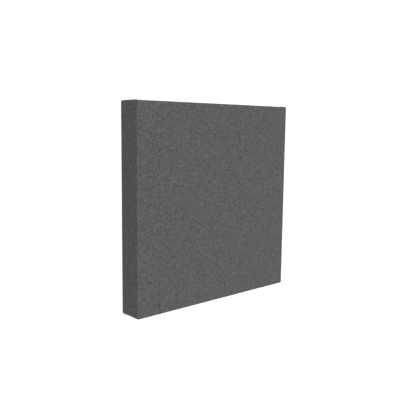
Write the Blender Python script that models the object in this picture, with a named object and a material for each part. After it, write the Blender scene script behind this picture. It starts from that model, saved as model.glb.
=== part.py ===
"""Fabric-covered acoustic wall panel, lying on its back with the cloth face up.

A square slab of rigid wool board is wrapped in one piece of woven cloth. The cloth is drawn over the face
and the four edges, folded at the corners, and turned onto the back as a hem that leaves the middle of the
board bare.

Frame: metres, +Z out of the cloth face, +Y up the panel as it hangs, +X to the right as a viewer sees it.
The origin is the middle of the back, on the plane of the hem that lies against the wall.
"""

import math

import bmesh
import bpy
from mathutils import Matrix

MM = 0.001

# The panel, outside its cloth.
PANEL_WIDTH = 600 * MM
PANEL_HEIGHT = 600 * MM

# The rigid wool board inside it.
BOARD_THICKNESS = 75 * MM
BOARD_EDGE_RADIUS = 1.5 * MM

# The cloth, and the line of glue between it and the board.
CLOTH_THICKNESS = 1.0 * MM
GLUE_LINE = 0.3 * MM

# The hem on the back, measured in from the panel's edge, and the cut between two hems at a corner.
HEM_WIDTH = 45 * MM
MITRE_CUT = 0.8 * MM
WINDOW_CORNER_RADIUS = 1.0 * MM

# The corner tucks. The spare cloth of the left and right edges is folded under the cloth of the top and
# bottom edges, and trimmed to the tuck's width. Slack is the air in the fold, fade is how far the cloth takes
# to come down to the board again, and set-back is from the rounding of the panel's corner to the fold.
TUCK_WIDTH = 26 * MM
TUCK_SLACK = 0.2 * MM
TUCK_FADE = 4 * MM
TUCK_SET_BACK = 0.3 * MM

# How far a cutter runs past what it cuts.
OVERRUN = 5 * MM

# The facets across a rounded edge and up the side of a tuck.
EDGE_SEGMENTS = 5
TUCK_STEPS = 4

COVER = CLOTH_THICKNESS + GLUE_LINE
BOARD_WIDTH = PANEL_WIDTH - 2 * COVER
BOARD_HEIGHT = PANEL_HEIGHT - 2 * COVER
PANEL_THICKNESS = BOARD_THICKNESS + 2 * COVER
CAVITY_RADIUS = BOARD_EDGE_RADIUS + GLUE_LINE
CLOTH_EDGE_RADIUS = BOARD_EDGE_RADIUS + COVER
TUCK_RISE = CLOTH_THICKNESS + TUCK_SLACK
WINDOW_WIDTH = PANEL_WIDTH - 2 * HEM_WIDTH
WINDOW_HEIGHT = PANEL_HEIGHT - 2 * HEM_WIDTH

CLOTH_COLOUR = (0.105, 0.105, 0.105, 1.0)
WOOL_COLOUR = (0.46, 0.36, 0.17, 1.0)


def clear_scene():
    """Empties the scene that the file opens with."""
    for obj in list(bpy.data.objects):
        bpy.data.objects.remove(obj)


def matt_material(name, colour, roughness):
    """A plain matt finish."""
    material = bpy.data.materials.new(name)
    material.use_nodes = True
    shader = material.node_tree.nodes["Principled BSDF"]
    shader.inputs["Base Color"].default_value = colour
    shader.inputs["Roughness"].default_value = roughness
    shader.inputs["Metallic"].default_value = 0.0
    material.diffuse_color = colour
    return material


def object_from(bm, name):
    """Turns a finished bmesh into a linked object."""
    mesh = bpy.data.meshes.new(name)
    bm.to_mesh(mesh)
    bm.free()
    obj = bpy.data.objects.new(name, mesh)
    bpy.context.scene.collection.objects.link(obj)
    return obj


def hidden_cutter(bm, name):
    """A closed shape that only serves a Boolean."""
    cutter = object_from(bm, name)
    cutter.hide_render = True
    cutter.display_type = "WIRE"
    return cutter


def add_box(bm, size, centre, turn=0.0):
    """Adds a box to a bmesh, turned about its own vertical axis."""
    place = Matrix.Translation(centre) @ Matrix.Rotation(turn, 4, "Z") @ Matrix.Diagonal((*size, 1.0))
    return bmesh.ops.create_cube(bm, size=1.0, matrix=place)["verts"]


def rounded_slab(width, height, thickness, bottom, radius):
    """A slab with every edge and corner rounded by the same radius."""
    bm = bmesh.new()
    add_box(bm, (width, height, thickness), (0.0, 0.0, bottom + thickness / 2))
    bmesh.ops.bevel(
        bm,
        geom=bm.edges[:],
        offset=radius,
        offset_type="OFFSET",
        affect="EDGES",
        segments=EDGE_SEGMENTS,
        profile=0.5,
        clamp_overlap=True,
    )
    return bm


def boolean(obj, cutter, operation):
    """Joins or cuts with a hidden shape."""
    modifier = obj.modifiers.new(f"{operation.lower()} {cutter.name}", "BOOLEAN")
    modifier.operation = operation
    modifier.solver = "EXACT"
    modifier.object = cutter


def corner_signs():
    """The signs of X and Y at the four corners."""
    return [(side, end) for side in (-1, 1) for end in (-1, 1)]


def inset_outline(outline, insets):
    """Moves each side of a convex outline inward by its own distance and returns the new corners.

    Side i runs from corner i to corner i + 1, and the outline goes clockwise or counter-clockwise.
    """
    count = len(outline)
    centre = (sum(p[0] for p in outline) / count, sum(p[1] for p in outline) / count)
    lines = []
    for i in range(count):
        start = outline[i]
        stop = outline[(i + 1) % count]
        run = math.dist(start, stop)
        normal = ((stop[1] - start[1]) / run, -(stop[0] - start[0]) / run)
        offset = normal[0] * start[0] + normal[1] * start[1]
        inward = math.copysign(1.0, normal[0] * centre[0] + normal[1] * centre[1] - offset)
        lines.append((normal, offset + inward * insets[i]))
    corners = []
    for i in range(count):
        (a, b), c = lines[i - 1]
        (d, e), f = lines[i]
        scale = a * e - b * d
        corners.append(((c * e - b * f) / scale, (a * f - c * d) / scale))
    return corners


def tuck_rings():
    """The outlines of a corner tuck from its foot to its crown, each with its height over the flat cloth.

    Seen square on, a tuck starts at the corner of the face, widens at 45 degrees as the folded cloth does,
    and runs to the back at its full trimmed width. It is rounded like folded cloth along the corner of the
    panel and at the back, and fades into the single cloth on its other two sides.
    """
    corner_x = PANEL_WIDTH / 2 - CLOTH_EDGE_RADIUS - TUCK_SET_BACK
    face_z = PANEL_THICKNESS - CLOTH_EDGE_RADIUS - TUCK_SET_BACK
    back_z = CLOTH_EDGE_RADIUS + TUCK_SET_BACK
    outline = [
        (corner_x, back_z),
        (corner_x, face_z),
        (corner_x - TUCK_WIDTH, face_z - TUCK_WIDTH),
        (corner_x - TUCK_WIDTH, back_z),
    ]
    rings = [(-CLOTH_THICKNESS / 2, outline)]
    for step in range(TUCK_STEPS + 1):
        angle = math.pi / 2 * step / TUCK_STEPS
        fold = TUCK_RISE * (1 - math.cos(angle))
        fade = TUCK_FADE * math.acos(1 - 2 * math.sin(angle)) / math.pi
        rings.append((TUCK_RISE * math.sin(angle), inset_outline(outline, (fold, fade, fade, fold))))
    return rings


def tuck_bulges():
    """The raised cloth over each corner tuck, on the top and bottom edges of the panel."""
    bm = bmesh.new()
    rings = tuck_rings()
    for side, end in corner_signs():
        loops = []
        for rise, ring in rings:
            y = end * (PANEL_HEIGHT / 2 + rise)
            loops.append([bm.verts.new((side * x, y, z)) for x, z in ring])
        bm.faces.new(loops[0])
        bm.faces.new(loops[-1])
        for loop, next_loop in zip(loops, loops[1:]):
            for i in range(len(loop)):
                j = (i + 1) % len(loop)
                bm.faces.new((loop[i], loop[j], next_loop[j], next_loop[i]))
    bmesh.ops.recalc_face_normals(bm, faces=bm.faces[:])
    return hidden_cutter(bm, "tuck bulges")


def board_cavity():
    """The space that the board and its glue line take up inside the cloth."""
    bm = rounded_slab(
        BOARD_WIDTH + 2 * GLUE_LINE,
        BOARD_HEIGHT + 2 * GLUE_LINE,
        BOARD_THICKNESS + 2 * GLUE_LINE,
        CLOTH_THICKNESS,
        CAVITY_RADIUS,
    )
    return hidden_cutter(bm, "board cavity")


def back_window():
    """The opening inside the hem, where the back of the board shows."""
    bm = bmesh.new()
    depth = COVER + OVERRUN
    add_box(bm, (WINDOW_WIDTH, WINDOW_HEIGHT, depth), (0.0, 0.0, COVER - depth / 2))
    upright = [e for e in bm.edges if abs(e.verts[0].co.z - e.verts[1].co.z) > depth / 2]
    bmesh.ops.bevel(
        bm,
        geom=upright,
        offset=WINDOW_CORNER_RADIUS,
        affect="EDGES",
        segments=EDGE_SEGMENTS,
        profile=0.5,
    )
    return hidden_cutter(bm, "back window")


def mitre_cuts():
    """The cut between two hems, from each corner of the window out to the corner of the panel."""
    bm = bmesh.new()
    depth = COVER + OVERRUN
    inner = (WINDOW_WIDTH / 2 - WINDOW_CORNER_RADIUS, WINDOW_HEIGHT / 2 - WINDOW_CORNER_RADIUS)
    stop = CLOTH_EDGE_RADIUS + MITRE_CUT
    outer = (PANEL_WIDTH / 2 - stop, PANEL_HEIGHT / 2 - stop)
    run = math.dist(inner, outer)
    for side, end in corner_signs():
        turn = math.atan2(end * (outer[1] - inner[1]), side * (outer[0] - inner[0]))
        centre = (side * (inner[0] + outer[0]) / 2, end * (inner[1] + outer[1]) / 2, COVER - depth / 2)
        add_box(bm, (run, MITRE_CUT, depth), centre, turn)
    return hidden_cutter(bm, "mitre cuts")


def build_board():
    """The slab of rigid wool that gives the panel its shape and soaks up the sound."""
    board = object_from(
        rounded_slab(BOARD_WIDTH, BOARD_HEIGHT, BOARD_THICKNESS, COVER, BOARD_EDGE_RADIUS),
        "wool_board",
    )
    board.data.materials.append(matt_material("Rigid glass wool", WOOL_COLOUR, 0.95))
    return board


def build_cloth():
    """The one piece of cloth round the board, with its corner tucks and its mitred hem."""
    cloth = object_from(
        rounded_slab(PANEL_WIDTH, PANEL_HEIGHT, PANEL_THICKNESS, 0.0, CLOTH_EDGE_RADIUS),
        "cloth_cover",
    )
    cloth.data.materials.append(matt_material("Woven polyester", CLOTH_COLOUR, 0.9))
    boolean(cloth, tuck_bulges(), "UNION")
    boolean(cloth, board_cavity(), "DIFFERENCE")
    boolean(cloth, back_window(), "DIFFERENCE")
    boolean(cloth, mitre_cuts(), "DIFFERENCE")
    return cloth


def main():
    """Builds the panel."""
    clear_scene()
    build_board()
    build_cloth()


main()
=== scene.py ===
"""Looks of a fabric acoustic wall panel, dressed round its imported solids.

The panel lies on its back on a white studio floor, cloth face up, and the camera looks down on it from the
front left, so that the picture shows the face and the left edge. Lengths are in metres unless a name says
otherwise. In the frame, +Z comes out of the cloth face, +Y is up the panel as it hangs, and +X is to its
right.
"""

import logging
import math
import random
from collections.abc import Iterable
from dataclasses import dataclass
from enum import Enum, IntEnum
from itertools import product

import bmesh
import bpy
from mathutils import Matrix, Vector, noise


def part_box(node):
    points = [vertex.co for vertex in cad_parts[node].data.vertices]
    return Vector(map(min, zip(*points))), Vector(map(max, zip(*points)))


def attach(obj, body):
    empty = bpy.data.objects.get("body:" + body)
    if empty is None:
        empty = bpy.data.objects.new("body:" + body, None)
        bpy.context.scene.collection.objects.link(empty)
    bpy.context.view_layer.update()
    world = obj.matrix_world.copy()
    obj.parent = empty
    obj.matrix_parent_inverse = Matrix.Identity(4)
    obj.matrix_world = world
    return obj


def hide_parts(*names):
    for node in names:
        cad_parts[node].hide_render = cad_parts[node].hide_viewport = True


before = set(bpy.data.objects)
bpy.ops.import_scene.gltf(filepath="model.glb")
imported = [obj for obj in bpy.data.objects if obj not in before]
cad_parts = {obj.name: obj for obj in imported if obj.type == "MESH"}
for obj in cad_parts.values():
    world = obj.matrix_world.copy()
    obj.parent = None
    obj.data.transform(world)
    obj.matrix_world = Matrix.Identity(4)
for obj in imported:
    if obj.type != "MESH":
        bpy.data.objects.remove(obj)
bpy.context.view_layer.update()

MM = 0.001
# Places closer together than this are the same place.
FLUSH = 1e-3 * MM
# A noise pattern lies round its middle value, and seldom goes below the low one or above the high one.
NOISE_LOW = 0.3
NOISE_MIDDLE = 0.5
NOISE_HIGH = 0.7
# How much detail a noise pattern has, from plain hills to rough ones.
PLAIN = 1.0
SOFT = 2.0
GRAINY = 3.0
ROUGH = 4.0
BOTH_SIDES = (-1, 1)
# How much of a unit normal points along Z where a face counts as flat, and where it counts as facing down.
FLAT_ON = 0.9
FACING_DOWN = -0.5
# The UV maps of the cloth: one that the weave follows, and one that it is baked through.
WEAVE_MAP = "weave"
BAKE_MAP = "OFBake"
# The cloth's attribute for how far round an edge a place lies, where painted highlight and wear pale it.
EDGE_HIGHLIGHT_AND_WEAR = "edge_highlight_wear"
LOG = logging.getLogger("acoustic_panel")

NodeValue = bpy.types.Node | bpy.types.NodeSocket


class Axis(IntEnum):
    """The frame's axes, by their place in a vector."""

    X = 0
    Y = 1
    Z = 2

    @property
    def across(self) -> "Axis":
        """The other axis in the panel's plane."""
        return Axis(1 - self)


PLANE = (Axis.X, Axis.Y)


def linear(hex_colour: str) -> tuple[float, float, float, float]:
    """Turns an sRGB colour into the linear values that the shaders take, by the sRGB standard's curve.

    Args:
        hex_colour: Six hex digits, such as "5f5f5f".

    Returns:
        Red, green, blue and an alpha of 1.
    """
    shares = [int(hex_colour[i : i + 2], 16) / 255 for i in (0, 2, 4)]
    rgb = [s / 12.92 if s <= 0.04045 else ((s + 0.055) / 1.055) ** 2.4 for s in shares]
    return (*rgb, 1.0)


def smooth_step(share: float) -> float:
    """Rises from 0 to 1 with a level start and end."""
    t = min(1.0, max(0.0, share))
    return t * t * (3 - 2 * t)


def wander(place: Vector, size: float, seed: float = 0.0) -> float:
    """A smooth random value from about -1 to 1 at a place, by the size of its hills and a seed."""
    return noise.noise(place / size + Vector((seed, -seed, 2 * seed)))


def number_by_place(bm: bmesh.types.BMesh) -> None:
    """Numbers a finished mesh's parts by where they lie, because operators number some otherwise in each run.

    Args:
        bm: The mesh.
    """
    for parts in (bm.verts, bm.edges, bm.faces):
        # A point lies where it is, and an edge or a face where its points are.
        places = {part: sorted(v.co[:] for v in getattr(part, "verts", [part])) for part in parts}
        ranks = {part: rank for rank, part in enumerate(sorted(parts, key=places.get))}
        parts.sort(key=ranks.get)


def mesh_object(bm: bmesh.types.BMesh, name: str, sharp_deg: float = 40.0) -> bpy.types.Object:
    """Turns a finished bmesh into a smooth-shaded object at the origin.

    Args:
        bm: The mesh, which is freed.
        name: The piece's name.
        sharp_deg: Edges that turn by more than this stay sharp.

    Returns:
        The new object.
    """
    mesh = bpy.data.meshes.new(name)
    bm.to_mesh(mesh)
    bm.free()
    mesh.shade_smooth()
    mesh.set_sharp_from_angle(angle=math.radians(sharp_deg))
    piece = bpy.data.objects.new(name, mesh)
    bpy.context.scene.collection.objects.link(piece)
    return piece


def rounded_slab(low: Vector, high: Vector, radius: float, segments: int) -> bmesh.types.BMesh:
    """A slab with every edge and corner rounded alike.

    Args:
        low: Its lowest corner.
        high: Its highest corner.
        radius: The radius of its edges.
        segments: The facets across an edge.

    Returns:
        The slab.
    """
    bm = bmesh.new()
    place = Matrix.Translation((low + high) / 2) @ Matrix.Diagonal((*(high - low), 1.0))
    bmesh.ops.create_cube(bm, size=1.0, matrix=place)
    bmesh.ops.bevel(
        bm, geom=bm.edges[:], offset=radius, affect="EDGES", segments=segments, profile=0.5, material=-1
    )
    return bm


def flat_faces(bm: bmesh.types.BMesh, axis: Axis, at: float) -> list[bmesh.types.BMFace]:
    """The faces that lie flat at one distance along an axis."""
    return [f for f in bm.faces if all(abs(v.co[axis] - at) < FLUSH for v in f.verts)]


def score(bm: bmesh.types.BMesh, faces: list[bmesh.types.BMFace], at: Vector, normal: Vector) -> None:
    """Splits faces along a straight line, without moving anything.

    Args:
        bm: The mesh.
        faces: The faces to split.
        at: A point on the cutting plane.
        normal: The plane's normal.
    """
    edges = {e for f in faces for e in f.edges}
    verts = {v for f in faces for v in f.verts}
    bmesh.ops.bisect_plane(bm, geom=[*faces, *edges, *verts], dist=FLUSH, plane_co=at, plane_no=normal)


def score_window(bm: bmesh.types.BMesh, z: float, half: tuple[float, float]) -> None:
    """Splits the flat faces at one height along the four sides of a window round the middle.

    Args:
        bm: The mesh.
        z: The height.
        half: Half the window's width and half its height.
    """
    for axis, sign in product(PLANE, BOTH_SIDES):
        at, normal = Vector(), Vector()
        at[axis], normal[axis] = sign * half[axis], 1.0
        score(bm, flat_faces(bm, Axis.Z, z), at, normal)


class NodeSheet:
    """The nodes of a material or of the surroundings, with one call that adds a node and its links."""

    def __init__(self, owner: bpy.types.Material | bpy.types.World) -> None:
        """Starts with no nodes.

        Args:
            owner: The material or the surroundings that the nodes belong to.
        """
        self.owner = owner
        self.owner.use_nodes = True
        self.tree = self.owner.node_tree
        self.tree.nodes.clear()

    def add(
        self, kind: str, links: dict[str | int, object] | None = None, **settings: object
    ) -> bpy.types.Node:
        """Adds one node.

        Args:
            kind: The node's type without its ShaderNode prefix.
            links: Input name or number to a value, a node's output, or a node that gives its first output.
            settings: Attributes to set on the node before its inputs.

        Returns:
            The new node.
        """
        node = self.tree.nodes.new(f"ShaderNode{kind}")
        for key, value in settings.items():
            setattr(node, key, value)
        for key, value in (links or {}).items():
            if isinstance(value, bpy.types.Node):
                value = next(socket for socket in value.outputs if socket.enabled)
            if isinstance(value, bpy.types.NodeSocket):
                self.tree.links.new(value, node.inputs[key])
            else:
                node.inputs[key].default_value = value
        return node

    def finish(self, shader: bpy.types.Node) -> bpy.types.Material | bpy.types.World:
        """Links the shader to the output.

        Args:
            shader: The last node.

        Returns:
            The material or the surroundings.
        """
        kind = "OutputWorld" if isinstance(self.owner, bpy.types.World) else "OutputMaterial"
        self.add(kind, {"Surface": shader})
        return self.owner


class YarnSet(Enum):
    """The two sets of yarns in a cloth. Where one goes over, the other goes under."""

    WARP = (0.0, 3.0)
    WEFT = (math.pi, 57.0)

    def __init__(self, wave_start: float, shade_seed: float) -> None:
        """Notes the angle at which its wave starts, and a seed that makes its shades its own."""
        self.wave_start = wave_start
        self.shade_seed = shade_seed


@dataclass(frozen=True)
class HopsackCloth:
    """Charcoal melange polyester, woven two threads over and two under.

    To the eye it is a matt dark grey with short lighter and darker streaks both ways, because each yarn is
    spun from dark and pale fibres. Its loose fibre ends give it a faint pale bloom when seen at a slant.

    Attributes:
        thread_mm: The width of a thread. The real ones are about 1 mm wide, but are drawn twice as coarse, or
            the weave wouldn't show.
        float_threads: How many threads a yarn passes over, and then under.
        streak_mm: How far a yarn keeps its shade.
        yarn_step: From one yarn to the next, the noise cells that keep their shades apart.
        drift_mm: How far a yarn runs before it drifts the other way.
        drift_threads: The most that it drifts, in threads.
        windings: The spun fibres that cross a yarn's width.
        twist_share: How much paler or darker they are.
        edge_highlight_and_wear: How much paler the colour is on the rounded edges: a painted highlight, and
            rubbed wear.
        crown_share: The share of a yarn's height that its round section gives. Its wave gives the rest.
        hollow_shade: The share of the colour kept in the hollows between the yarns, a painted shade.
        crown_shade: The same on the yarns' crowns, where above 1 it is a painted highlight.
        shoulder: The height from which a yarn counts as a crown.
        crown_mm: How far a yarn's crown stands over the hollows.
    """

    name: str = "Woven melange polyester"
    dark_yarn: str = "292929"
    pale_yarn: str = "515151"
    thread_mm: float = 2.0
    float_threads: int = 2
    streak_mm: float = 13.0
    yarn_step: float = 7.31
    drift_mm: float = 70.0
    drift_threads: float = 1.0
    windings: float = 3.0
    twist_share: float = 0.35
    edge_highlight_and_wear: float = 0.3
    crown_share: float = 0.6
    hollow_shade: float = 0.45
    crown_shade: float = 1.08
    shoulder: float = 0.85
    crown_mm: float = 0.15
    bump_strength: float = 0.6
    roughness: float = 0.92
    ior: float = 1.54
    sheen: float = 0.03

    def material(self) -> bpy.types.Material:
        """Builds the cloth's material on its own weave map, in metres.

        Returns:
            The material.
        """
        sheet = NodeSheet(bpy.data.materials.new(self.name))
        place = self._drifting_place(sheet)
        threads = sheet.add("VectorMath", {0: place, "Scale": 1 / (self.thread_mm * MM)}, operation="SCALE")
        split = sheet.add("SeparateXYZ", {"Vector": threads})
        x, y = split.outputs["X"], split.outputs["Y"]
        warp_height = self._yarn_height(sheet, x, y, YarnSet.WARP)
        weft_height = self._yarn_height(sheet, y, x, YarnSet.WEFT)
        height = sheet.add("Math", {0: warp_height, 1: weft_height}, operation="MAXIMUM")
        warp_up = sheet.add("Math", {0: warp_height, 1: weft_height}, operation="GREATER_THAN")
        warp_shade = self._yarn_shade(sheet, x, y, YarnSet.WARP)
        weft_shade = self._yarn_shade(sheet, y, x, YarnSet.WEFT)
        yarn = sheet.add("Mix", {"Factor": warp_up, "A": weft_shade, "B": warp_shade})
        # Over the panel's rounded edges the colour is painted paler: a painted highlight, and rubbed yarns'
        # pale fibres.
        edge_highlight_share = sheet.add("Attribute", attribute_name=EDGE_HIGHLIGHT_AND_WEAR).outputs["Fac"]
        shade = sheet.add("Math", {0: edge_highlight_share, 1: self.edge_highlight_and_wear, 2: yarn}, operation="MULTIPLY_ADD")
        tones = {"Factor": shade, "A": linear(self.dark_yarn), "B": linear(self.pale_yarn)}
        dyed = sheet.add("Mix", tones, data_type="RGBA")
        # Painted shade: the colour is darker in the hollows between the yarns, and a little paler on their
        # crowns.
        lit = sheet.add(
            "MapRange",
            {
                "Value": height,
                "From Min": 0.0,
                "From Max": self.shoulder,
                "To Min": self.hollow_shade,
                "To Max": self.crown_shade,
            },
        )
        colour = sheet.add("VectorMath", {0: dyed, "Scale": lit}, operation="SCALE")
        relief = {"Strength": self.bump_strength, "Distance": self.crown_mm * MM, "Height": height}
        bump = sheet.add("Bump", relief)
        shader = sheet.add(
            "BsdfPrincipled",
            {
                "Base Color": colour,
                "Roughness": self.roughness,
                "IOR": self.ior,
                "Sheen Weight": self.sheen,
                "Normal": bump,
            },
        )
        return sheet.finish(shader)

    def _drifting_place(self, sheet: NodeSheet) -> bpy.types.Node:
        """The weave map with its yarns drifting off straight, as those of stretched cloth do.

        Args:
            sheet: The material's nodes.

        Returns:
            A node with the place, in metres.
        """
        place = sheet.add("UVMap", uv_map=WEAVE_MAP)
        drift = sheet.add("TexNoise", {"Vector": place, "Scale": 1 / (self.drift_mm * MM), "Detail": SOFT})
        middle = (NOISE_MIDDLE,) * 3
        share = sheet.add("VectorMath", {0: drift.outputs["Color"], 1: middle}, operation="SUBTRACT")
        most = 2 * self.drift_threads * self.thread_mm * MM
        shift = sheet.add("VectorMath", {0: share, "Scale": most}, operation="SCALE")
        return sheet.add("VectorMath", {0: place, 1: shift}, operation="ADD")

    def _yarn_height(
        self, sheet: NodeSheet, across: NodeValue, along: NodeValue, yarns: YarnSet
    ) -> bpy.types.Node:
        """How high one set of yarns stands: round across a yarn, and over and under the others along it.

        Args:
            sheet: The material's nodes.
            across: The place across the yarns, in threads.
            along: The place along them, in threads.
            yarns: Which set it is.

        Returns:
            A node with the height, which is 1 at a crown and 0 or less in a hollow.
        """
        share = sheet.add("Math", {0: across}, operation="FRACT")
        half_turn = sheet.add("Math", {0: share, 1: math.pi}, operation="MULTIPLY")
        arch = sheet.add("Math", {0: half_turn}, operation="SINE")
        crown = sheet.add("Math", {0: arch}, operation="SQRT")
        group = sheet.add("Math", {0: across, 1: 1 / self.float_threads}, operation="MULTIPLY")
        step = sheet.add("Math", {0: group}, operation="FLOOR")
        floats = sheet.add("Math", {0: along, 1: 1 / self.float_threads, 2: step}, operation="MULTIPLY_ADD")
        phase = sheet.add("Math", {0: floats, 1: math.pi, 2: yarns.wave_start}, operation="MULTIPLY_ADD")
        wave = sheet.add("Math", {0: phase}, operation="SINE")
        raised = sheet.add("Math", {0: crown, 1: self.crown_share}, operation="MULTIPLY")
        return sheet.add("Math", {0: wave, 1: 1 - self.crown_share, 2: raised}, operation="MULTIPLY_ADD")

    def _yarn_shade(
        self, sheet: NodeSheet, across: NodeValue, along: NodeValue, yarns: YarnSet
    ) -> bpy.types.Node:
        """How pale the yarns are: each differs from the next, changes slowly along itself, and is twisted.

        Args:
            sheet: The material's nodes.
            across: The place across the yarns, in threads.
            along: The place along them, in threads.
            yarns: Which set it is.

        Returns:
            A node with the shade, from 0 for dark to 1 for pale.
        """
        yarn = sheet.add("Math", {0: across}, operation="FLOOR")
        apart = sheet.add("Math", {0: yarn, 1: self.yarn_step}, operation="MULTIPLY")
        run = sheet.add("Math", {0: along, 1: self.thread_mm / self.streak_mm}, operation="MULTIPLY")
        place = sheet.add("CombineXYZ", {"X": apart, "Y": run, "Z": yarns.shade_seed})
        streak = sheet.add("TexNoise", {"Vector": place, "Scale": 1.0, "Detail": PLAIN})
        shade = sheet.add("MapRange", {"Value": streak, "From Min": NOISE_LOW, "From Max": NOISE_HIGH})
        # The spun fibres wind round the yarn, so they cross it at a slant.
        slant = sheet.add("Math", {0: across, 1: along}, operation="ADD")
        winding = sheet.add("Math", {0: slant, 1: self.windings}, operation="MULTIPLY")
        fibre_place = sheet.add("CombineXYZ", {"X": winding, "Y": along, "Z": yarn})
        fibres = sheet.add("TexNoise", {"Vector": fibre_place, "Scale": 1.0, "Detail": PLAIN})
        most = self.twist_share
        twist = sheet.add("MapRange", {"Value": fibres, "To Min": -most, "To Max": most})
        return sheet.add("Math", {0: shade, 1: twist}, operation="ADD")


@dataclass(frozen=True)
class YarnEnd:
    """The spun polyester of a cut yarn, loose at the cloth's raw edge.

    To the eye it is the cloth's own greys, matt, with dark and pale fibres twisted round each other.
    """

    name: str = "Spun polyester yarn"
    dark_fibre: str = "2c2c2c"
    pale_fibre: str = "686868"
    twist_mm: float = 1.2
    relief_mm: float = 0.1
    bump_strength: float = 0.4
    roughness: float = 0.9

    def material(self) -> bpy.types.Material:
        """Builds the yarn's material on object coordinates.

        Returns:
            The material.
        """
        sheet = NodeSheet(bpy.data.materials.new(self.name))
        place = sheet.add("TexCoord").outputs["Object"]
        fibres = sheet.add("TexNoise", {"Vector": place, "Scale": 1 / (self.twist_mm * MM), "Detail": SOFT})
        pale = sheet.add("MapRange", {"Value": fibres, "From Min": NOISE_LOW, "From Max": NOISE_HIGH})
        tones = {"Factor": pale, "A": linear(self.dark_fibre), "B": linear(self.pale_fibre)}
        colour = sheet.add("Mix", tones, data_type="RGBA")
        relief = {"Strength": self.bump_strength, "Distance": self.relief_mm * MM, "Height": fibres}
        look = {"Base Color": colour, "Roughness": self.roughness, "Normal": sheet.add("Bump", relief)}
        return sheet.finish(sheet.add("BsdfPrincipled", look))


@dataclass(frozen=True)
class GlassWool:
    """Bonded glass wool, pressed and cured into a rigid board.

    To the eye it is a dull yellow felt: fine pale fibres lie every way in the plane, over darker binder. The
    fibres themselves are a hundred times too fine to show, so the pattern is that of the tufts they form.

    Attributes:
        tuft_mm: The size of the tufts.
        strand_mm: The width of the strands within them.
        strand_curl: How much the strands curl.
        contrast: How far round its middle the pattern turns from binder to fibre.
    """

    name: str = "Bonded glass wool"
    binder: str = "8f7434"
    fibre: str = "d8c27e"
    tuft_mm: float = 9.0
    strand_mm: float = 0.8
    strand_curl: float = 2.0
    contrast: float = 0.28
    relief_mm: float = 0.3
    bump_strength: float = 0.6
    roughness: float = 0.95

    def material(self) -> bpy.types.Material:
        """Builds the wool's material on object coordinates.

        Returns:
            The material.
        """
        sheet = NodeSheet(bpy.data.materials.new(self.name))
        place = sheet.add("TexCoord").outputs["Object"]
        tufts = sheet.add("TexNoise", {"Vector": place, "Scale": 1 / (self.tuft_mm * MM), "Detail": ROUGH})
        curled = {
            "Vector": place,
            "Scale": 1 / (self.strand_mm * MM),
            "Detail": GRAINY,
            "Distortion": self.strand_curl,
        }
        strands = sheet.add("TexNoise", curled)
        felt = sheet.add("Math", {0: strands, 1: tufts}, operation="ADD")
        middle = 2 * NOISE_MIDDLE
        span = {"Value": felt, "From Min": middle - self.contrast, "From Max": middle + self.contrast}
        pale = sheet.add("MapRange", span)
        tones = {"Factor": pale, "A": linear(self.binder), "B": linear(self.fibre)}
        colour = sheet.add("Mix", tones, data_type="RGBA")
        relief = {"Strength": self.bump_strength, "Distance": self.relief_mm * MM, "Height": felt}
        look = {"Base Color": colour, "Roughness": self.roughness, "Normal": sheet.add("Bump", relief)}
        return sheet.finish(sheet.add("BsdfPrincipled", look))


@dataclass(frozen=True)
class GlassFibre:
    """Loose strands of glass fibre on the board's back.

    To the eye they are pale straw-coloured hairs with a soft shine, duller where the binder coats them.
    """

    name: str = "Glass fibre strands"
    coated: str = "b59a55"
    bare: str = "eadcae"
    coat_mm: float = 6.0
    roughness: float = 0.5
    ior: float = 1.52

    def material(self) -> bpy.types.Material:
        """Builds the strands' material on object coordinates.

        Returns:
            The material.
        """
        sheet = NodeSheet(bpy.data.materials.new(self.name))
        place = sheet.add("TexCoord").outputs["Object"]
        coat = sheet.add("TexNoise", {"Vector": place, "Scale": 1 / (self.coat_mm * MM), "Detail": SOFT})
        bare = sheet.add("MapRange", {"Value": coat, "From Min": NOISE_LOW, "From Max": NOISE_HIGH})
        tones = {"Factor": bare, "A": linear(self.coated), "B": linear(self.bare)}
        colour = sheet.add("Mix", tones, data_type="RGBA")
        look = {"Base Color": colour, "Roughness": self.roughness, "IOR": self.ior}
        return sheet.finish(sheet.add("BsdfPrincipled", look))


@dataclass(frozen=True)
class StudioWhite:
    """Matt white paint on the studio floor, lit until it is plain white in the picture."""

    name: str = "Studio white paint"
    colour: str = "d9d9d9"
    roughness: float = 0.9

    def material(self) -> bpy.types.Material:
        """Builds the floor's material.

        Returns:
            The material.
        """
        sheet = NodeSheet(bpy.data.materials.new(self.name))
        look = {"Base Color": linear(self.colour), "Roughness": self.roughness}
        return sheet.finish(sheet.add("BsdfPrincipled", look))


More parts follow.
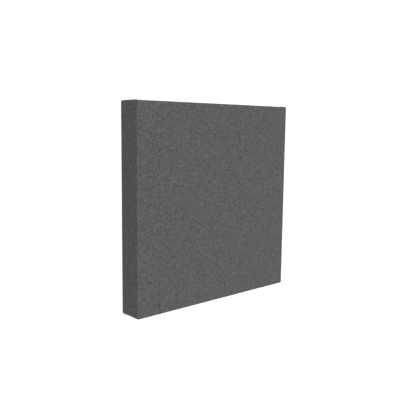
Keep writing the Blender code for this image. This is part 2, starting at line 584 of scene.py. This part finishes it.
class StrandBundle:
    """Many thin strands gathered into one piece, each a four-sided tube."""

    def __init__(self, name: str, radius: float) -> None:
        """Starts with no strands.

        Args:
            name: The name that the piece gets.
            radius: The radius of a strand where it is thickest.
        """
        self.curve = bpy.data.curves.new(name, "CURVE")
        self.curve.dimensions = "3D"
        self.curve.bevel_depth = radius
        self.curve.bevel_resolution = 0
        self.curve.use_fill_caps = True

    def add(self, points: list[Vector], taper: Iterable[float]) -> None:
        """Adds one strand.

        Args:
            points: The places that it passes through.
            taper: At each place, its share of the bundle's radius.
        """
        spline = self.curve.splines.new("POLY")
        spline.points.add(len(points) - 1)
        for knot, place, share in zip(spline.points, points, taper):
            knot.co = (*place, 1.0)
            knot.radius = share

    def piece(self) -> bpy.types.Object:
        """Turns the bundle into one mesh of closed strands.

        Returns:
            The mesh object, named as the bundle is.
        """
        drawn = bpy.data.objects.new(f"{self.curve.name}_lines", self.curve)
        bpy.context.scene.collection.objects.link(drawn)
        bpy.context.view_layer.update()
        tubes = bpy.data.meshes.new_from_object(drawn.evaluated_get(bpy.context.evaluated_depsgraph_get()))
        bm = bmesh.new()
        bm.from_mesh(tubes)
        bmesh.ops.remove_doubles(bm, verts=bm.verts[:], dist=FLUSH)
        bmesh.ops.recalc_face_normals(bm, faces=bm.faces[:])
        piece = mesh_object(bm, self.curve.name, sharp_deg=70)
        bpy.data.objects.remove(drawn)
        bpy.data.curves.remove(self.curve)
        bpy.data.meshes.remove(tubes)
        return piece


@dataclass
class CornerTuck:
    """The fold at a corner, where the spare cloth is turned under that of the panel's top or bottom edge.

    Seen square on to the edge, the folded layers start at the corner of the face, widen at 45 degrees and run
    down to the back. Along the corner the cloth is doubled back in a round lip. On the other sides it fades
    into the single cloth.

    Attributes:
        fold_x: The lip's distance from the middle of the panel's edge.
        face_z: The height at which the fold starts, by the face.
        back_z: The height at which it ends, by the back.
        width: How far the folded layers reach from the lip.
        rise: How far they lift the outer cloth.
        fade: The run in which it comes down again beside them.
        back_fade: The same at the back.
        lip_run: The width of cloth that is rolled into the lip.
        lip_lines: The strips that it is rolled in.
        lip_start_deg: Where on its round section the lip comes out of the cloth behind it.
    """

    fold_x: float
    face_z: float
    back_z: float
    width: float = 26 * MM
    rise: float = 1.2 * MM
    fade: float = 4 * MM
    back_fade: float = 2 * MM
    lip_run: float = 1.2 * MM
    lip_lines: int = 8
    lip_start_deg: float = -60.0

    def lines(self) -> list[float]:
        """The places along X, on the right of the panel, of the lines that the lip is rolled from."""
        return [self.fold_x - self.lip_run * i / self.lip_lines for i in range(self.lip_lines + 1)]

    def share(self, inward: float, z: float) -> float:
        """How much of the full rise the cloth has.

        Args:
            inward: The distance from the fold towards the middle of the edge.
            z: The height.

        Returns:
            From 0 for single cloth to 1 for the full fold.
        """
        below_diagonal = (self.face_z - z - inward) / math.sqrt(2)
        sides = min(below_diagonal, self.width - inward) / self.fade
        return smooth_step(sides) * smooth_step((z - self.back_z) / self.back_fade)

    def place(self, x: float, z: float) -> tuple[float, float]:
        """Where the flat cloth goes.

        Args:
            x: Its distance from the middle of the panel's edge.
            z: Its height.

        Returns:
            The new distance from the middle, and how far it stands out.
        """
        inward = self.fold_x - x
        share = self.share(max(inward, 0.0), z)
        if inward < -FLUSH or share == 0:
            return x, 0.0
        if inward >= self.lip_run:
            return x, self.rise * share
        start = math.radians(self.lip_start_deg)
        turn = start + (math.pi / 2 - start) * inward / self.lip_run
        height = (math.sin(turn) - math.sin(start)) / (1 - math.sin(start))
        rolled = self.rise / 2 * (1 - math.cos(turn))
        return self.fold_x - (1 - share) * inward - share * rolled, self.rise * share * height


@dataclass
class ClothCover:
    """The one piece of cloth round the board, with its corner tucks and its mitred hem.

    Attributes:
        low: The lowest corner of its box.
        high: The highest.
        hem_width: How far the cloth is turned in over the back.
        mitre_gap: The gap between two hems where they meet at a corner.
        mitre_reach: Past the hem's width, how far from a corner its back is split for the mitre.
        tuck_set_back: The distance of the tucks from the rounded edges.
        face_cuts: The lines of its grid across the face, each way.
        side_cuts: The same down the panel's edges.
        tuck_cuts: The further lines between them, round the tucks.
        wave: How far the cloth waves off a true slab.
        wave_size: The size of those waves.
        ravel: How far the hem's raw edge wanders.
        ravel_size: The length over which it does.
        bake_margin: The share of the bake map that stays free round the cloth.
        hidden_scale: How small the hidden side is drawn on the bake map.
    """

    low: Vector
    high: Vector
    thickness: float = 1.0 * MM
    edge_radius: float = 2.8 * MM
    edge_segments: int = 6
    hem_width: float = 45 * MM
    mitre_gap: float = 0.8 * MM
    mitre_reach: float = 6 * MM
    tuck_rise: float = 1.2 * MM
    tuck_set_back: float = 0.3 * MM
    face_cuts: int = 119
    side_cuts: int = 14
    tuck_cuts: int = 3
    wave: float = 0.12 * MM
    wave_size: float = 70 * MM
    ravel: float = 0.45 * MM
    ravel_size: float = 14 * MM
    bake_margin: float = 0.01
    hidden_scale: float = 0.12

    @property
    def half(self) -> Vector:
        """Half the wrapped slab's size, without what the tucks add."""
        return Vector((self.high.x, self.high.y - self.tuck_rise, (self.high.z - self.low.z) / 2))

    @property
    def centre(self) -> Vector:
        """The middle of the slab."""
        return Vector((0, 0, self.low.z + self.half.z))

    @property
    def window(self) -> tuple[float, float]:
        """Half the width and half the height of the opening inside the hem."""
        return self.half.x - self.hem_width, self.half.y - self.hem_width

    @property
    def tuck(self) -> CornerTuck:
        """The fold at each corner."""
        inset = self.edge_radius + self.tuck_set_back
        return CornerTuck(self.half.x - inset, self.high.z - inset, self.low.z + inset, rise=self.tuck_rise)

    def cut_size(self) -> tuple[float, float]:
        """The width and height of the flat cloth, from hem to hem over the face."""
        return tuple(2 * self._unrolled(reach - self.hem_width, self.low.z, reach) for reach in self.half.xy)

    def build(self) -> bpy.types.Object:
        """Models the cover.

        Returns:
            The cover, with no material yet.
        """
        bm = self._wrapped_slab()
        self._open_back(bm)
        self._score_tucks(bm)
        self._map_weave(bm)
        self._mark_edge_highlight_and_wear(bm)
        bm.normal_update()
        outside = set(bm.verts)
        bmesh.ops.solidify(bm, geom=bm.faces[:], thickness=self.thickness)
        self._map_bake(bm, outside)
        self._fold_tucks([v for v in bm.verts if v in outside])
        for vert in bm.verts:
            vert.co += self._settled(vert.co)
        bm.normal_update()
        number_by_place(bm)
        return mesh_object(bm, "fabric_cover")

    def _wrapped_slab(self) -> bmesh.types.BMesh:
        """The cloth's outer surface before it is opened.

        Returns:
            A rounded slab with an even grid on it.
        """
        high = Vector((*self.half.xy, self.high.z))
        bm = rounded_slab(Vector((-high.x, -high.y, self.low.z)), high, self.edge_radius, self.edge_segments)
        wide = self._long_edges(bm, Axis.X) + self._long_edges(bm, Axis.Y)
        bmesh.ops.subdivide_edges(bm, edges=wide, cuts=self.face_cuts, use_grid_fill=True)
        tall = self._long_edges(bm, Axis.Z)
        bmesh.ops.subdivide_edges(bm, edges=tall, cuts=self.side_cuts, use_grid_fill=True)
        return bm

    def _long_edges(self, bm: bmesh.types.BMesh, axis: Axis) -> list[bmesh.types.BMEdge]:
        """The edges that run the length of the slab along one axis."""
        reach = self.half[axis]
        return [e for e in bm.edges if abs(e.verts[0].co[axis] - e.verts[1].co[axis]) > reach]

    def _open_back(self, bm: bmesh.types.BMesh) -> None:
        """Cuts the window inside the hem, and the mitres at its corners, out of the back.

        Args:
            bm: The wrapped slab.
        """
        score_window(bm, self.low.z, self.window)
        near = self.hem_width + self.mitre_reach
        for side, end in product(BOTH_SIDES, repeat=2):
            normal = Vector((side, -end, 0)).normalized()
            corner = Vector((side * self.half.x, end * self.half.y, 0))
            for offset in (-self.mitre_gap / 2, self.mitre_gap / 2):
                square = [
                    f
                    for f in flat_faces(bm, Axis.Z, self.low.z)
                    if all(abs(c - k) < near for c, k in zip(f.calc_center_median().xy, corner.xy))
                ]
                score(bm, square, corner + normal * offset, normal)
        gone = [f for f in flat_faces(bm, Axis.Z, self.low.z) if self._is_open(f.calc_center_median())]
        bmesh.ops.delete(bm, geom=gone, context="FACES")

    def _is_open(self, place: Vector) -> bool:
        """Whether a place on the back is inside the window or a mitre.

        Args:
            place: The place.

        Returns:
            True where there is no cloth.
        """
        if abs(place.x) < self.window[0] and abs(place.y) < self.window[1]:
            return True
        off = abs((self.half.x - abs(place.x)) - (self.half.y - abs(place.y))) / math.sqrt(2)
        stop = self.edge_radius + self.mitre_gap
        outside = abs(place.x) > self.half.x - stop or abs(place.y) > self.half.y - stop
        return off < self.mitre_gap / 2 and not outside

    def _score_tucks(self, bm: bmesh.types.BMesh) -> None:
        """Gives the cloth round each tuck a finer grid, and lines for its lip to be rolled from.

        Args:
            bm: The cloth's outer surface.
        """
        tuck = self.tuck
        reach = tuck.fold_x - tuck.width - tuck.fade
        area = [f for f in self._end_faces(bm) if abs(f.calc_center_median().x) > reach]
        edges = list({e for f in area for e in f.edges})
        bmesh.ops.subdivide_edges(bm, edges=edges, cuts=self.tuck_cuts, use_grid_fill=True)
        lip = tuck.fold_x - 2 * tuck.lip_run
        for side, x in product(BOTH_SIDES, tuck.lines()):
            near = [f for f in self._end_faces(bm) if side * f.calc_center_median().x > lip]
            score(bm, near, Vector((side * x, 0, 0)), Vector((1, 0, 0)))

    def _end_faces(self, bm: bmesh.types.BMesh) -> list[bmesh.types.BMFace]:
        """The flat faces of the top and bottom edges."""
        return flat_faces(bm, Axis.Y, -self.half.y) + flat_faces(bm, Axis.Y, self.half.y)

    def _fold_tucks(self, verts: Iterable[bmesh.types.BMVert]) -> None:
        """Raises the outer cloth over the layers that are turned under at each corner.

        Args:
            verts: The points of the cloth's outer side.
        """
        tuck = self.tuck
        for vert in verts:
            if abs(abs(vert.co.y) - self.half.y) < FLUSH:
                x, out = tuck.place(abs(vert.co.x), vert.co.z)
                vert.co.x = math.copysign(x, vert.co.x)
                vert.co.y += math.copysign(out, vert.co.y)

    def _settled(self, place: Vector) -> Vector:
        """How far the cloth lies from a true slab: slow waves on its faces, and a wandering raw edge.

        Args:
            place: A point of the cloth.

        Returns:
            The way that it moves.
        """
        core = self.edge_radius + 2 * self.thickness
        offset = place - self.centre
        inside = Vector(max(core - half, min(half - core, off)) for half, off in zip(self.half, offset))
        outward = (offset - inside).normalized()
        wave = self.wave * wander(place, self.wave_size)
        if outward.z < FACING_DOWN:
            # There it only sinks in, so that the panel lies flat on the floor.
            wave = min(wave, 0.0)
        move = outward * wave
        if place.z < core:
            for axis in PLANE:
                on_edge = abs(abs(place[axis]) - self.window[axis]) < FLUSH
                if on_edge and abs(place[axis.across]) < self.half[axis.across] - self.edge_radius:
                    seed = axis + 2 * (place[axis] > 0)
                    along = Vector((place[axis.across], 0, 0))
                    move[axis] += self.ravel * wander(along, self.ravel_size, seed)
        return move

    def _unrolled(self, across: float, z: float, half: float) -> float:
        """How far along the cloth a place lies from the middle of the face.

        Args:
            across: The place's X, or its Y.
            z: Its height.
            half: Half the slab's size along that axis.

        Returns:
            The length along the cloth, with the sign of across.
        """
        radius, top = self.edge_radius, self.high.z
        flat = half - radius
        over = abs(across) - flat
        quarter = radius * math.pi / 2
        if over <= 0 and z > top / 2:
            run = abs(across)
        elif z >= top - radius:
            run = flat + radius * math.atan2(over, z - (top - radius))
        elif z > radius:
            run = flat + quarter + (top - radius - z)
        elif over > 0:
            run = flat + quarter + (top - 2 * radius) + radius * math.atan2(radius - z, over)
        else:
            run = flat + 2 * quarter + (top - 2 * radius) + (flat - abs(across))
        return math.copysign(run, across)

    def _mark_edge_highlight_and_wear(self, bm: bmesh.types.BMesh) -> None:
        """Marks how far round an edge of the panel each place lies, from 0 on the flats to 1 on the edge.

        Args:
            bm: The cloth's outer surface.
        """
        layer = bm.verts.layers.float.new(EDGE_HIGHLIGHT_AND_WEAR)
        for vert in bm.verts:
            depths = sorted(reach - abs(value) for reach, value in zip(self.half, vert.co - self.centre))
            # An edge is near where two of the slab's sides are.
            # Where this mark is high, the colour gets a painted highlight, with rubbed wear.
            vert[layer] = smooth_step(1 - depths[1] / self.edge_radius)

    def _map_weave(self, bm: bmesh.types.BMesh) -> None:
        """Lays the weave map along the cloth, so that the yarns run on over the edges and onto the back.

        Args:
            bm: The cloth's outer surface.
        """
        layer = bm.loops.layers.uv.new(WEAVE_MAP)
        for face in bm.faces:
            # On the back, the hems that unroll along X and those that unroll along Y part at the mitres.
            side = face.calc_center_median() if abs(face.normal.z) > FLAT_ON else face.normal
            by_x = abs(side.x) >= abs(side.y)
            for loop in face.loops:
                p = loop.vert.co
                if by_x:
                    loop[layer].uv = (self._unrolled(p.x, p.z, self.half.x), p.y)
                else:
                    loop[layer].uv = (p.x, self._unrolled(p.y, p.z, self.half.y))

    def _map_bake(self, bm: bmesh.types.BMesh, outside: set[bmesh.types.BMVert]) -> None:
        """Spreads the outer side of the flat cloth over the bake map, so that the weave is baked finely.

        The inner side, which lies on the board, is a small copy in a corner that the cloth's cut leaves free.

        Args:
            bm: The cloth with its thickness.
            outside: The points of its outer side.
        """
        layer = bm.loops.layers.uv.new(BAKE_MAP)
        weave = bm.loops.layers.uv[WEAVE_MAP]
        width = max(self.cut_size()) * (1 + self.bake_margin)
        for face in bm.faces:
            hidden = not any(vert in outside for vert in face.verts)
            for loop in face.loops:
                spot = loop[weave].uv / width + Vector((0.5, 0.5))
                if hidden:
                    spot = Vector((1, 1)) - spot * self.hidden_scale
                loop[layer].uv = spot


@dataclass
class HemFrays:
    """The cut yarns that have worked loose along the hem's raw edge.

    Attributes:
        cover: The cloth that they are part of.
        spacing: From one yarn to the next.
        loose_share: How many of them have worked loose.
        rarity: A higher power makes the long ends rarer.
        lean: How far they lean over, for each unit of length.
        depth: The least and the most that they lie in the cloth, in shares of its thickness.
        curl: How far they rise or dip.
        taper: The shares of the radius that a yarn has from its root to its end.
    """

    cover: ClothCover
    spacing: float = 1.5 * MM
    loose_share: float = 0.6
    radius: float = 0.3 * MM
    shortest: float = 0.6 * MM
    longest: float = 3.4 * MM
    rarity: float = 2.5
    lean: float = 0.35
    depth: tuple[float, float] = (0.3, 0.6)
    curl: float = 0.15 * MM
    taper: tuple[float, ...] = (1.0, 0.95, 0.75, 0.3)
    seed: int = 7

    def build(self) -> bpy.types.Object:
        """Models the yarn ends.

        Returns:
            All of them as one piece, with no material yet.
        """
        rng = random.Random(self.seed)
        bundle = StrandBundle("hem_frays", self.radius)
        for axis, sign in product(PLANE, BOTH_SIDES):
            reach = self.cover.window[axis.across] - self.spacing
            for i in range(round(2 * reach / self.spacing)):
                if rng.random() < self.loose_share:
                    points = self._yarn(rng, axis, sign, -reach + i * self.spacing)
                    bundle.add(points, self.taper)
        return bundle.piece()

    def _yarn(self, rng: random.Random, axis: Axis, sign: int, along: float) -> list[Vector]:
        """Lays out one yarn end.

        Args:
            rng: The source of chance.
            axis: The axis that it points along.
            sign: On which side of the window it grows.
            along: Its place along the raw edge.

        Returns:
            The places that it passes through.
        """
        length = self.shortest + (self.longest - self.shortest) * rng.random() ** self.rarity
        lean = rng.gauss(0, self.lean)
        sink = self.cover.thickness * rng.uniform(*self.depth)
        edge = self.cover.window[axis] + self.cover.ravel
        points = []
        for i in range(len(self.taper)):
            share = i / (len(self.taper) - 1)
            place = Vector((0, 0, self.cover.low.z + sink))
            place[axis] = sign * (edge - (length + self.cover.ravel) * share)
            place[axis.across] = along + lean * length * share * share
            place.z += self.curl * math.sin(math.pi * share) * rng.uniform(-1, 1)
            points.append(place)
        return points


@dataclass
class WoolBoard:
    """The rigid wool board, whose felted back shows inside the hem.

    Attributes:
        low: The lowest corner of its box.
        high: The highest.
        window: Half the width and half the height of what the hem leaves open.
        rim: How far the felted surface runs on under the hem, while it levels out.
        back_cuts: The lines of its grid across the back, each way.
        tuft: How far its tufts stand out or sink in.
        tuft_size: Their size.
        pluck: How far its plucked spots do.
        pluck_size: Their size.
    """

    low: Vector
    high: Vector
    window: tuple[float, float]
    edge_radius: float = 1.5 * MM
    edge_segments: int = 3
    rim: float = 8 * MM
    back_cuts: int = 155
    tuft: float = 0.3 * MM
    tuft_size: float = 11 * MM
    pluck: float = 0.16 * MM
    pluck_size: float = 4.5 * MM
    tuft_seed: float = 2.0
    pluck_seed: float = 5.0

    def build(self) -> bpy.types.Object:
        """Models the board.

        Returns:
            The board, with no material yet.
        """
        bm = rounded_slab(self.low, self.high, self.edge_radius, self.edge_segments)
        score_window(bm, self.low.z, tuple(half + self.rim for half in self.window))
        shown = min(flat_faces(bm, Axis.Z, self.low.z), key=lambda f: f.calc_center_median().xy.length)
        bmesh.ops.subdivide_edges(bm, edges=shown.edges[:], cuts=self.back_cuts, use_grid_fill=True)
        for vert in bm.verts:
            if abs(vert.co.z - self.low.z) < FLUSH:
                vert.co.z += self.relief(vert.co)
        bm.normal_update()
        number_by_place(bm)
        return mesh_object(bm, "glass_wool_board")

    def relief(self, place: Vector) -> float:
        """How far the felted back is sunk in at a place.

        Args:
            place: The place. Its height doesn't matter.

        Returns:
            The depth, which is negative where the back stands out.
        """
        flat = Vector((place.x, place.y, 0))
        margin = min(self.window[axis] + self.rim - abs(flat[axis]) for axis in PLANE)
        tufts = self.tuft * wander(flat, self.tuft_size, self.tuft_seed)
        plucks = self.pluck * wander(flat, self.pluck_size, self.pluck_seed)
        return (tufts + plucks) * smooth_step(margin / self.rim)


@dataclass
class LooseFibres:
    """The strands of glass fibre that lie loose on the board's back.

    Attributes:
        board: The board that they lie on.
        count: How many there are.
        spread: The share of the window in which they start.
        taper: The shares of the radius that a strand has along its length.
        step: The least and the most from one of those places to the next.
        hump: The least and the most that its middle stands off the board.
        bend: How much it turns at each step, in radians.
        jitter: How much that changes from step to step.
    """

    board: WoolBoard
    count: int = 1500
    radius: float = 0.11 * MM
    spread: float = 0.96
    taper: tuple[float, ...] = (0.4, 0.8, 1.0, 1.0, 1.0, 0.8, 0.4)
    step: tuple[float, float] = (1.2 * MM, 3.6 * MM)
    hump: tuple[float, float] = (0.05 * MM, 0.35 * MM)
    bend: float = 0.16
    jitter: float = 0.1
    seed: int = 19

    def build(self) -> bpy.types.Object:
        """Models the strands.

        Returns:
            All of them as one piece, with no material yet.
        """
        rng = random.Random(self.seed)
        bundle = StrandBundle("loose_fibres", self.radius)
        for _ in range(self.count):
            bundle.add(self._strand(rng), self.taper)
        return bundle.piece()

    def _strand(self, rng: random.Random) -> list[Vector]:
        """Lays out one strand.

        Args:
            rng: The source of chance.

        Returns:
            The places that it passes through.
        """
        place = Vector([rng.uniform(-half, half) * self.spread for half in self.board.window] + [0.0])
        heading = rng.uniform(0, 2 * math.pi)
        step = rng.uniform(*self.step)
        bend = rng.gauss(0, self.bend)
        hump = rng.uniform(*self.hump)
        points = []
        for i in range(len(self.taper)):
            lift = hump * math.sin(math.pi * i / (len(self.taper) - 1)) + self.radius / 2
            points.append(Vector((place.x, place.y, self.board.low.z + self.board.relief(place) - lift)))
            place = place + Vector((math.cos(heading), math.sin(heading), 0)) * step
            heading += bend + rng.gauss(0, self.jitter)
        return points


@dataclass
class PhotoCamera:
    """The camera, placed as in the photograph and seen from the panel as it hangs.

    The place and the turns are given in the hanging panel's own axes: X to the right along its face, Y away
    from the viewer, and Z up, from the bottom left corner of its face.
    """

    lens_mm: float = 50.0
    sensor_mm: float = 36.0
    place: tuple[float, float, float] = (-0.8473, -1.2227, 0.5268)
    yaw_deg: float = 41.18
    pitch_deg: float = 7.35
    roll_deg: float = 0.6

    def build(self, cover: ClothCover) -> None:
        """Makes the camera for the panel that lies on its back.

        Args:
            cover: The cloth, whose face the camera's place is measured from.
        """
        data = bpy.data.cameras.new("photo_camera")
        data.lens = self.lens_mm
        data.sensor_width = self.sensor_mm
        camera = bpy.data.objects.new("photo_camera", data)
        bpy.context.scene.collection.objects.link(camera)
        lay_down = Matrix.Rotation(math.radians(-90), 4, "X")
        corner = Vector((-cover.half.x, -cover.half.y, cover.high.z))
        turn = (
            Matrix.Rotation(math.radians(-self.yaw_deg), 4, "Z")
            @ Matrix.Rotation(math.radians(90 - self.pitch_deg), 4, "X")
            @ Matrix.Rotation(math.radians(self.roll_deg), 4, "Z")
        )
        camera.matrix_world = (
            Matrix.Translation(corner) @ lay_down @ Matrix.Translation(Vector(self.place)) @ turn
        )
        bpy.context.scene.camera = camera


@dataclass(frozen=True)
class SoftLight:
    """A far studio light that is wide enough to give soft shadows.

    Attributes:
        towards: The direction from the panel to the light.
        angle_deg: The angle that the light fills.
        strength: Its power in watts for each square metre.
    """

    name: str = "front_softbox"
    towards: tuple[float, float, float] = (-0.08, 0.09, 0.985)
    angle_deg: float = 14.0
    strength: float = 4.6

    def build(self) -> None:
        """Adds the light."""
        data = bpy.data.lights.new(self.name, "SUN")
        data.angle = math.radians(self.angle_deg)
        data.energy = self.strength
        light = bpy.data.objects.new(self.name, data)
        light.rotation_mode = "QUATERNION"
        light.rotation_quaternion = (-Vector(self.towards)).to_track_quat("-Z", "Y")
        bpy.context.scene.collection.objects.link(light)


@dataclass
class Studio:
    """The white floor, the white walls under a dark ceiling, and the soft light.

    Attributes:
        floor_size: The width of the floor.
        floor_z: Its height, just clear of the panel's back.
        wall_glow: How bright the walls are.
        ceiling_glow: How bright the ceiling is.
        wall_top: How steeply upwards a line of sight still meets only wall, as the sine of its angle.
        ceiling_start: How steeply it meets only ceiling.
    """

    floor_size: float = 40.0
    floor_z: float = -0.2 * MM
    wall_glow: float = 1.0
    ceiling_glow: float = 0.12
    wall_top: float = 0.12
    ceiling_start: float = 0.5

    def build(self) -> None:
        """Makes the floor, the light and the surroundings."""
        bm = bmesh.new()
        bmesh.ops.create_grid(bm, x_segments=1, y_segments=1, size=self.floor_size / 2)
        bmesh.ops.translate(bm, verts=bm.verts[:], vec=(0, 0, self.floor_z))
        floor = mesh_object(bm, "studio_floor")
        floor.data.materials.append(StudioWhite().material())
        SoftLight().build()
        bpy.context.scene.world = self._surroundings()
        bpy.context.scene.view_settings.view_transform = "Standard"

    def _surroundings(self) -> bpy.types.World:
        """White walls all round and a dark ceiling, so that the panel's edges are darker than its face.

        Returns:
            The surroundings.
        """
        sheet = NodeSheet(bpy.data.worlds.new("white_studio"))
        sight = sheet.add("SeparateXYZ", {"Vector": sheet.add("TexCoord").outputs["Generated"]})
        glow = sheet.add(
            "MapRange",
            {
                "Value": sight.outputs["Z"],
                "From Min": self.wall_top,
                "From Max": self.ceiling_start,
                "To Min": self.wall_glow,
                "To Max": self.ceiling_glow,
            },
            interpolation_type="SMOOTHSTEP",
        )
        return sheet.finish(sheet.add("Background", {"Color": (1, 1, 1, 1), "Strength": glow}))


def place_piece(piece: bpy.types.Object, finish: bpy.types.Material) -> None:
    """Dresses a piece and fixes it to the panel.

    Args:
        piece: The piece.
        finish: Its material.
    """
    piece.data.materials.append(finish)
    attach(piece, "root")
    LOG.info("%s: %d faces", piece.name, len(piece.data.polygons))


def main() -> None:
    """Builds the panel's looks, piece by piece, and the studio round it."""
    logging.basicConfig(level=logging.INFO, format="%(name)s: %(message)s")
    cover = ClothCover(*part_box("cloth_cover"))
    PhotoCamera().build(cover)

    cloth = cover.build()
    place_piece(cloth, HopsackCloth().material())
    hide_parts("cloth_cover")

    frays = HemFrays(cover).build()
    place_piece(frays, YarnEnd().material())

    board = WoolBoard(*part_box("wool_board"), window=cover.window)
    wool = board.build()
    place_piece(wool, GlassWool().material())
    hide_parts("wool_board")

    fibres = LooseFibres(board).build()
    place_piece(fibres, GlassFibre().material())

    Studio().build()


if __name__ == "__main__":
    main()
